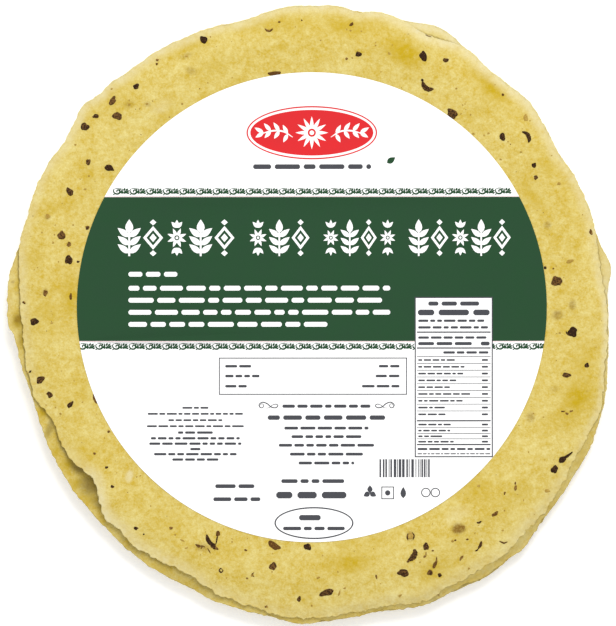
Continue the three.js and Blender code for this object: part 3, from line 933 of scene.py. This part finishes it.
def add_pepper():
    random = np.random.default_rng(PEPPER_SEED)
    for kind, (dark, light, tables, strokes, dust) in KINDS_OF_PEPPER.items():
        grains = Grains(random)
        for table, height in tables:
            for row in table:
                grains.grain(row, height, GRAIN_SIDES)
        for *points, width in strokes:
            grains.stroke(points, width)
        grains.dust(*dust)
        name = "pepper_" + kind
        thing = add_object(name, grains.points, grains.faces, pepper_material(name, dark, light))
        add_number(thing, "wear", grains.wear)
        settle(thing, "pepper")


# The label's print

PAPER, GREEN, RED, INK = range(4)
# The paper and the inks: name, colour, colour of its clouds, roughness, and how much lighter it is
INKS = [
    ["paper", PAPER_WHITE, "FCFCFB", 0.55, PAPER_LIFT],
    ["green", "264D2F", "284B31", 0.5, 1.0],
    ["red", "E52C31", "DC2E33", 0.5, 1.0],
    ["ink", "4C4D53", "4A4B50", 0.5, 1.0],
]
BAR_CUT = 0.3
LEAF_FULLNESS = 0.8
LINE_TIP = 0.35
# Bars that stand for words, by their height: least and greatest length, a line's least rest, and the gap
WORD_LENGTHS = [2.0, 5.5]
WORD_REST = 1.6
WORD_GAP = 0.75

# A flower: how wide its petals are together, and its round middles as [share of its radius, sides]
PETALS_WIDTH = 2.75
FLOWER_MIDDLES = [[0.5, 16], [0.28, 12]]
# Motifs of lines and of leaves as [x, y, length, width, turn], with the steps of a line and of a leaf
SPRAY = [[6.0, -1.4], [9.0, 0.4], [12.5, 0.6], [16.2, -0.4]]
SPRAY_PAIRS = [[7.6, -0.4, 62], [10.2, 0.55, 55], [12.9, 0.55, 48], [15.2, 0, 30]]
SPRAY_LEAVES = [
    [x, y, length, 1.25, way * turn] for x, y, turn in SPRAY_PAIRS for way, length in ((1, 3.3), (-1, 3.0))
]
BORDER_SCROLL = [
    [-2.0, 0.7], [-2.35, 0.25], [-2.1, -0.5], [-1.4, -0.9], [-0.6, -0.75], [-0.3, -0.1], [-0.65, 0.35],
    [-1.15, 0.25], [-1.3, -0.15], [-1.0, -0.35],
]
BORDER_TAIL = [[-0.5, -0.7], [0.1, -0.35], [0.4, 0.2], [0.35, 0.85]]
BORDER_ARCH = [[-2.0, 0.62], [-1.4, 0.84], [-0.7, 0.84], [-0.1, 0.62]]
BORDER_LEAVES = [
    [0.3, -0.95, 1.15, 0.72, 75], [0.85, -0.9, 1.35, 0.78, 55], [1.3, -0.75, 1.35, 0.74, 40],
    [0.85, 0.05, 1.1, 0.7, 62], [1.45, 0.1, 1.15, 0.66, 38], [1.9, -0.8, 0.95, 0.6, 20],
    [1.95, -0.2, 0.85, 0.56, 30], [-0.35, 0.15, 0.9, 0.5, 70], [-1.9, -0.95, 0.7, 0.4, 200],
]
SPRAY_MOTIF = [[[SPRAY, 0.55]], SPRAY_LEAVES, 6, 5]
BORDER_MOTIF = [[[BORDER_SCROLL, 0.56], [BORDER_TAIL, 0.56], [BORDER_ARCH, 0.252]], BORDER_LEAVES, 3, 4]
BORDER_REPEAT = 5.26
FLOURISH = [
    [-2.9, 0.1], [-2.2, 0.75], [-1.6, 0.35], [-1.9, -0.45], [-2.7, -0.35], [-3.0, 0.5], [-1.9, 1.25],
    [-0.4, 0.75], [0.7, -0.2], [2.1, -0.5], [2.9, 0.1], [2.3, 0.65], [1.1, 0.3], [0.2, -0.45], [-0.8, -0.6],
]

# Four groups of ornaments: [left, right, how many], and the ornaments, each with its share of the room
TITLE_GROUPS = [[-61.3, -23.8, 5], [-20.3, -0.2, 3], [3.0, 26.9, 4], [30.4, 63.2, 5]]
ORNAMENTS = [["sprig", 1.0], ["lozenges", 0.84], ["blossom", 0.86]]
TITLE_MIDDLE = 21.9
TITLE_HEIGHT = 11.6
# Their shapes, as shares of their width and height. The stem is [half width, foot, top], a lozenge is [ink,
# rise, width, height], a leaf [rise, length by the height, length by the width, width, turn], and the
# blossom's flower [radius, petals, turn].
STEM = [0.04, -0.5, 0.2]
SPRIG_LEAVES = [[rise, 0, 0.62, 0.26, turn] for rise in (-0.42, -0.2, 0.02) for turn in (38, 142)]
SPRIG_LEAVES.append([0.12, 0.38, 0, 0.34, 90])
LOZENGES = [[PAPER, 0, 1, 0.64], [GREEN, 0, 0.66, 0.4224], [PAPER, 0, 0.36, 0.2304]]
LOZENGES += [[PAPER, -0.42, 0.34, 0.16], [PAPER, 0.42, 0.34, 0.16]]
BLOSSOM = [0.5, 8, 22.5]
BLOSSOM_LEAVES = [[side * 0.27, 0.22, 0, 0.2, side * 90 + lean] for side in (-1, 1) for lean in (-42, 0, 42)]

# Stripes and the gaps between them are up to so many units wide, and the last ones keep a margin
STRIPE_UNIT = 0.264
STRIPE_MOST = 3
GAP_MOST = 2
STRIPE_MARGIN = 3.75
STRIPE_SEED = 31

# The ruled panel's rules, and its rows, each with a line of print and a short bar: [left, right, height]
FIRST_RULE = -15.6
ROW_HEIGHT = 2.14
RULED_ROWS = 9
RULES = [FIRST_RULE - ROW_HEIGHT * i for i in range(RULED_ROWS)] + [-38.0, -39.8, -41.5]
ROWS = [FIRST_RULE - ROW_HEIGHT * (i + 0.5) for i in range(RULED_ROWS)] + [-37.0, -38.9, -40.7, -42.4]
ROW_ENDS = [46.0, 48.1, 47.7, 45.5, 43.5, 49.9, 47.5, 41.9, 42.1, 43.8, 43.6, 41.1, 44.7]
ROW_LEFT = 33.5
ROW_PRINT = 0.55
ROW_SEEDS = -10
ROW_BAR = [53.5, 55.5, 0.6]

# The print in the order in which it is drawn: a later shape covers an earlier one. Each row names a kind of
# shape and has its numbers. A line is [left, right, middle, height, seed], in a block from its width on.
PRINT = [
    ["oval", PAPER, 0, 0, 2 * LABEL_RADIUS, 2 * LABEL_RADIUS, 360],
    # The red oval, with a flower between two leafy sprays, and what is under it
    ["oval", RED, 0, 55, 41.2, 16.8, 72], ["oval", PAPER, 0, 55, 40.3, 15.9, 72],
    ["oval", RED, 0, 55, 38.8, 14.4, 72], ["flower", PAPER, RED, 0, 55, 5.2, 12],
    ["motif", PAPER, SPRAY_MOTIF, 0, 55, -1], ["motif", PAPER, SPRAY_MOTIF, 0, 55, 1],
    ["lines", INK, [-18.5, 18.7, 44.3, 1.5, 1]], ["leaf", GREEN, 23.7, 45.4, 3.2, 1.9, 35],
    # The green band with its borders, thin red lines and ornaments
    ["border", -62.8, 62.8, 36.6], ["border", -73.6, 73.6, -12.3],
    ["rules", RED, -LABEL_RADIUS, LABEL_RADIUS, 0.05, [-10.84, 34.84]],
    ["box", GREEN, -LABEL_RADIUS, LABEL_RADIUS, -10.7, 34.7], ["title"],
    ["lines", PAPER, [-57.8, -42.4, 10.4, 1.5, 2], [-57.8, 24.7, 6.0, 1.5, 3], [-57.8, 24.7, 2.2, 1.5, 4],
     [-57.8, 24.7, -1.6, 1.5, 5], [-57.8, 4.9, -5.4, 1.5, 6]],
    # The panel with ruled rows
    ["framed_box", 32.4, 57.0, -47.3, 3.2, 0.36], ["block", 44.7, [16, 1.1, 1.3, 11], [22.6, -1.7, 1.8, 12]],
    ["lines", INK, [33.5, 54.3, -4.3, 0.75, 43], [33.5, 55.5, -6.4, 0.75, 64], [33.5, 55.0, -9.6, 0.75, 96],
     [33.5, 50.4, -11.5, 1.0, 13]], ["bar", INK, 53.2, 56.0, -11.5, 1.2],
    ["lines", INK, [41.4, 55.6, -14.3, 0.75, 14]],
    ["rules", INK, 33.1, 56.3, 0.42, [-7.9, -12.9, -35.8, -43.3]], ["rules", INK, 33.1, 56.3, 0.2, RULES],
    ["rows"], ["lines", INK, [33.3, 56.2, -44.7, 0.7, 15], [33.3, 56.2, -46.2, 0.35, 16]],
    # The framed box, two blocks of small print with two flourishes, and the stripes
    ["framed_box", -29.3, 30.0, -27.6, -15.9, 0.3],
    ["lines", INK, [-27.3, -19.1, -18.6, 0.8, 21], [21.1, 27.6, -18.6, 0.8, 26],
     [-27.3, -16.5, -21.7, 0.8, 22], [20.1, 27.6, -21.7, 0.8, 27], [-27.3, -20.5, -24.9, 0.8, 23],
     [15.8, 27.6, -24.9, 0.8, 28]],
    ["block", -36.7, [8.2, -31.7, 0.6, 317], [30, -33.6, 0.6, 336], [17, -35.6, 0.6, 356],
     [30.5, -37.5, 0.6, 375], [11, -39.5, 0.75, 395], [28, -41.3, 0.75, 413], [29, -43.0, 0.75, 430],
     [3.2, -44.7, 0.75, 447], [26, -46.3, 0.75, 463], [14.5, -48.0, 0.75, 480]],
    ["block", 4.6, [27.7, -31.2, 1.0, 312], [37, -34.8, 1.4, 348], [26.5, -38.1, 0.9, 381],
     [22, -40.8, 0.9, 408], [30, -43.5, 0.9, 435], [23, -46.3, 0.9, 463], [17.5, -49.1, 0.9, 491]],
    ["stroke", INK, FLOURISH, 0.34, -13.6, -31.2, 6, 1], ["stroke", INK, FLOURISH, 0.34, 22.9, -31.2, 6, -1],
    ["stripes", 21.3, 37.8, -53.6, -47.9],
    # The last lines, and an oval with two lines in it
    ["lines", INK, [-30.4, -18.1, -56.4, 1.2, 41], [-31.0, -16.2, -60.5, 1.2, 42],
     [-9.6, 10.2, -54.8, 1.2, 43], [-11.2, 10.9, -59.2, 2.1, 44]],
    ["ring", 0.7, -68.0, 24.9, 10.1, 0.45, 64],
    ["lines", INK, [-4.0, 5.6, -66.3, 1.7, 45], [-9.0, 10.4, -69.7, 1.1, 46]],
    # Four small plain figures: a trefoil, a framed dot, a drop and a pair of rings
    ["leaf", INK, 18.3, -58.4, 2.3, 1.7, 90], ["leaf", INK, 18.3, -58.4, 2.3, 1.7, 210],
    ["leaf", INK, 18.3, -58.4, 2.3, 1.7, 330], ["framed_box", 21.9, 25.9, -60.5, -56.5, 0.3],
    ["oval", INK, 23.9, -58.5, 1.7, 1.7, 16], ["leaf", INK, 28.8, -60.2, 3.6, 1.8, 90],
    ["ring", 35.9, -58.4, 3.0, 3.0, 0.32, 20], ["ring", 38.9, -58.4, 3.0, 3.0, 0.32, 20],
]


class Drawing:
    """The label's outlines, each with its colour."""

    def __init__(self):
        self.points = []
        self.outlines = []
        self.inks = []
        for kind, *numbers in PRINT:
            getattr(self, kind)(*numbers)

    def outline(self, ink, points):
        points = np.asarray(points, float)
        x, y = points.T
        if np.sum(x * np.roll(y, -1) - y * np.roll(x, -1)) < 0:
            points = points[::-1]
        first = len(self.points)
        self.points.extend(Vector(point) for point in points)
        self.outlines.append(list(range(first, first + len(points))))
        self.inks.append(ink)

    def box(self, ink, left, right, low, high):
        self.outline(ink, [(left, low), (right, low), (right, high), (left, high)])

    def framed_box(self, left, right, low, high, line):
        self.box(INK, left, right, low, high)
        self.box(PAPER, left + line, right - line, low + line, high - line)

    def rules(self, ink, left, right, thickness, middles):
        for middle in middles:
            self.box(ink, left, right, middle - thickness / 2, middle + thickness / 2)

    def bar(self, ink, left, right, middle, height):
        """A bar with its corners cut off."""
        cut = height * BAR_CUT
        low, high = middle - height / 2, middle + height / 2
        corners = [(left + cut, low), (right - cut, low), (right, low + cut), (right, high - cut)]
        corners += [(right - cut, high), (left + cut, high), (left, high - cut), (left, low + cut)]
        self.outline(ink, corners)

    def oval(self, ink, x, y, length, width, sides):
        way = around(sides)
        self.outline(ink, np.column_stack([x + cosine(way) * length / 2, y + sine(way) * width / 2]))

    def ring(self, x, y, length, width, line, sides):
        self.oval(INK, x, y, length, width, sides)
        self.oval(PAPER, x, y, length - 2 * line, width - 2 * line, sides)

    def leaf(self, ink, x, y, length, width, turn, steps=5):
        """A pointed leaf with its foot at the place."""
        share = np.arange(steps + 1) / steps
        half = width / 2 * np.sin(math.pi * share**LEAF_FULLNESS)
        along, across = np.append(share, share[-2:0:-1]) * length, np.append(half, -half[-2:0:-1])
        self.outline(ink, np.column_stack(turned(along, across, turn, x, y)))

    def stroke(self, ink, points, width, x, y, steps, flip):
        """A line through the points that thins out towards both ends."""
        path = curve(np.array(points, float) * [flip, 1], steps) + [x, y]
        side, share = leftward(path)
        half = (width / 2 * (LINE_TIP + (1 - LINE_TIP) * np.sin(math.pi * share)))[:, None]
        left, right = path + side * half, path - side * half
        for i in range(len(path) - 1):
            self.outline(ink, [left[i], right[i], right[i + 1], left[i + 1]])

    def lines(self, ink, *rows):
        """Bars of uneven length, as lines of small print are when seen from far off."""
        for left, right, middle, height, seed in rows:
            random = np.random.default_rng(seed)
            while left < right - height:
                end = min(right, left + height * random.uniform(*WORD_LENGTHS))
                if right - end < WORD_REST * height:
                    end = right
                self.bar(ink, left, end, middle, height)
                left = end + height * WORD_GAP

    def block(self, centre, *rows):
        self.lines(INK, *([centre - width / 2, centre + width / 2, *rest] for width, *rest in rows))

    def rows(self):
        left, right, height = ROW_BAR
        for middle, end in zip(ROWS, ROW_ENDS):
            self.lines(INK, [ROW_LEFT, end, middle, ROW_PRINT, round(ROW_SEEDS * middle)])
            self.bar(INK, left, right, middle, height)

    def stripes(self, left, right, low, high):
        """Stripes of random widths."""
        random = np.random.default_rng(STRIPE_SEED)
        while left < right - STRIPE_UNIT * STRIPE_MARGIN:
            width = STRIPE_UNIT * random.integers(1, STRIPE_MOST + 1)
            self.box(INK, left, left + width, low, high)
            left += width + STRIPE_UNIT * random.integers(1, GAP_MOST + 1)

    def motif(self, ink, parts, x, y, flip=1):
        """Lines and leaves around a place, mirrored if flip is -1."""
        strokes, leaves, line_steps, leaf_steps = parts
        for points, width in strokes:
            self.stroke(ink, points, width, x, y, line_steps, flip)
        for leaf_x, leaf_y, length, width, turn in leaves:
            lean = turn if flip > 0 else 180 - turn
            self.leaf(ink, x + flip * leaf_x, y + leaf_y, length, width, lean, leaf_steps)

    def border(self, left, right, middle):
        count = round((right - left) / BORDER_REPEAT)
        step = (right - left) / count
        for i in range(count):
            self.motif(GREEN, BORDER_MOTIF, left + step * (i + 0.5), middle)

    def flower(self, petals, middle, x, y, radius, count, turn=0.0):
        """A flower with pointed petals around a round middle."""
        for i in range(count):
            self.leaf(petals, x, y, radius, radius * PETALS_WIDTH / count, turn + 360 * i / count)
        for ink, (share, sides) in zip((middle, petals), FLOWER_MIDDLES):
            self.oval(ink, x, y, radius * share, radius * share, sides)

    def title(self):
        """Groups of ornaments, each kind in turn."""
        kinds = cycle(ORNAMENTS)
        for left, right, count in TITLE_GROUPS:
            step = (right - left) / count
            for i in range(count):
                kind, share = next(kinds)
                getattr(self, kind)(left + step * (i + 0.5), step * share)

    def sprig(self, x, width):
        """An upright stem with three pairs of leaves and one on top."""
        half, foot, top = STEM
        low, high = TITLE_MIDDLE + TITLE_HEIGHT * foot, TITLE_MIDDLE + TITLE_HEIGHT * top
        self.box(PAPER, x - width * half, x + width * half, low, high)
        self.leaves(x, width, SPRIG_LEAVES)

    def lozenges(self, x, width):
        """An upright lozenge with smaller ones in it, and a small one above and below."""
        for ink, rise, wide, tall in LOZENGES:
            self.oval(ink, x, TITLE_MIDDLE + TITLE_HEIGHT * rise, width * wide, TITLE_HEIGHT * tall, 4)

    def blossom(self, x, width):
        """A flower between two sets of small leaves."""
        radius, *petals = BLOSSOM
        self.flower(PAPER, GREEN, x, TITLE_MIDDLE, width * radius, *petals)
        self.leaves(x, width, BLOSSOM_LEAVES)

    def leaves(self, x, width, rows):
        for rise, tall, wide, breadth, turn in rows:
            y, length = TITLE_MIDDLE + TITLE_HEIGHT * rise, TITLE_HEIGHT * tall + width * wide
            self.leaf(PAPER, x, y, length, width * breadth, turn)


# The label as a sheet on the top wafer, with the print a little over it and as far into it
LABEL_LIFT = 0.07
PAPER_THICKNESS = 0.1
PRINT_RISE = 0.02
COCKLE = [[16, 0.015]]
COCKLE_SEED = 60
GRID_STEP = 4
GRID_MARGIN = 1
SLOPE_STEP = 0.05
MERGE_DISTANCE = 1e-5


def label_height(x, y):
    return wafer_top(TOP, *polar(x, y)) + LABEL_LIFT + noise_sum(COCKLE, x, y, COCKLE_SEED)


def slope(x, y, step_x, step_y):
    rise = label_height(x + step_x, y + step_y) - label_height(x - step_x, y - step_y)
    return rise / (2 * SLOPE_STEP)


def slab(name, plan, triangles, low, high, material):
    """A thin closed solid over the triangles, between two heights over the label's underside."""
    used, corners = np.unique(np.array(triangles), return_inverse=True)
    x, y = plan[used].T
    level = label_height(x, y)
    points = np.vstack([np.column_stack([x, y, level + high]), np.column_stack([x, y, level + low])])
    top = [tuple(corner) for corner in corners.reshape(-1, 3).tolist()]
    edges = {edge for a, b, c in top for edge in ((a, b), (b, c), (c, a))}
    rim = sorted(edge for edge in edges if edge[::-1] not in edges)
    below = len(used)
    bottom = [(c + below, b + below, a + below) for a, b, c in top]
    walls = [(b, a, a + below, b + below) for a, b in rim]
    thing = add_object(name, points, top + bottom + walls, material)
    upward = np.column_stack([-slope(x, y, SLOPE_STEP, 0), -slope(x, y, 0, SLOPE_STEP), np.ones(below)])
    upward /= np.linalg.norm(upward, axis=1)[:, None]
    thing.data.normals_split_custom_set_from_vertices(np.vstack([upward, -upward]).tolist())
    return thing


def add_label():
    drawing = Drawing()
    steps = np.arange(-LABEL_RADIUS + GRID_STEP / 2, LABEL_RADIUS, GRID_STEP)
    grid = [Vector((x, y)) for x in steps for y in steps if math.hypot(x, y) < LABEL_RADIUS - GRID_MARGIN]
    cut = delaunay_2d_cdt(drawing.points + grid, [], drawing.outlines, 0, MERGE_DISTANCE)
    plan, triangles, sources = np.array(cut[0]), cut[2], cut[5]
    groups = [[] for _ in INKS]
    for triangle, source in zip(triangles, sources):
        if 0 in source:
            groups[drawing.inks[max(source)]].append(triangle)
    for ink, (name, *looks) in enumerate(INKS):
        material = print_material("label_" + name, *looks)
        if ink == PAPER:
            sheet = slab("label_paper", plan, sum(groups, []), 0, PAPER_THICKNESS, material)
            settle(sheet, "label_paper", "label")
        else:
            low, high = PAPER_THICKNESS - PRINT_RISE, PAPER_THICKNESS + PRINT_RISE
            settle(slab("print_" + name, plan, groups[ink], low, high, material), "label_" + name)


# Everything is made here

dough = dough_material()
for number in range(1, WAFERS + 1):
    Wafer(number).build(dough)
add_pepper()
add_label()

# The floor, a sheet of near-white board that is lit a little from below
FLOOR_HALF = 12000
FLOOR_LEVEL = -0.03
FLOOR_LOOKS = [PAPER_WHITE, "FDFDFD", 0.9, PAPER_LIFT]
FLOOR_GLOW = 0.22
WHITE = (1.0, 1.0, 1.0, 1.0)

corners = [(x * FLOOR_HALF, y * FLOOR_HALF, FLOOR_LEVEL) for x, y in ((-1, -1), (1, -1), (1, 1), (-1, 1))]
board = print_material("floor_board", *FLOOR_LOOKS)
shader = board.node_tree.nodes["Principled BSDF"]
shader.inputs["Emission Color"].default_value = WHITE
shader.inputs["Emission Strength"].default_value = FLOOR_GLOW
add_object("floor", corners, [(0, 1, 2, 3)], board)

# Soft light from all around, and a large lamp from the upper right, placed in metres in the part's frame
SKY_STRENGTH = 0.86
LAMP_SIZE = 0.9
LAMP_POWER = 19
LAMP_PLACE = (0.28, 1.03, 1.57)

scene = bpy.context.scene
scene.world = bpy.data.worlds.new("soft_light")
scene.world.use_nodes = True
sky = scene.world.node_tree.nodes["Background"]
sky.inputs["Color"].default_value = WHITE
sky.inputs["Strength"].default_value = SKY_STRENGTH
lamp = bpy.data.lights.new("key", "AREA")
lamp.shape = "DISK"
lamp.size = LAMP_SIZE
lamp.energy = LAMP_POWER
key = bpy.data.objects.new("key", lamp)
key.location = LAMP_PLACE
key.rotation_euler = (-key.location).to_track_quat("-Z", "Y").to_euler()
scene.collection.objects.link(key)

# The camera looks down from a little to the lower right of the print, with the print's top up
CAMERA_DISTANCE = 2500
CAMERA_ELEVATION = 88
CAMERA_SIDE = -50
CLIP_START = 0.05
VIEW_HEIGHT = 197.2
VIEW_MIDDLE = [-1.2, -1.85, 9.2]
SENSOR_HEIGHT = 36

target = Vector(to_frame([VIEW_MIDDLE])[0])
away = Vector((*place(cosine(CAMERA_ELEVATION), CAMERA_SIDE), sine(CAMERA_ELEVATION)))
right_way = Vector((0, 1, 0)).cross(away).normalized()
up_way = away.cross(right_way)
camera = bpy.data.cameras.new("camera")
camera.sensor_fit = "VERTICAL"
camera.sensor_height = SENSOR_HEIGHT
camera.lens = SENSOR_HEIGHT * CAMERA_DISTANCE / VIEW_HEIGHT
camera.clip_start = CLIP_START
eye = bpy.data.objects.new("camera", camera)
turn = Matrix((right_way, up_way, away)).transposed().to_4x4()
eye.matrix_world = Matrix.Translation(target + away * CAMERA_DISTANCE * MM) @ turn
scene.collection.objects.link(eye)
scene.camera = eye

scene.view_settings.view_transform = "Standard"
scene.view_settings.look = "None"
scene.view_settings.exposure = 0
scene.view_settings.gamma = 1
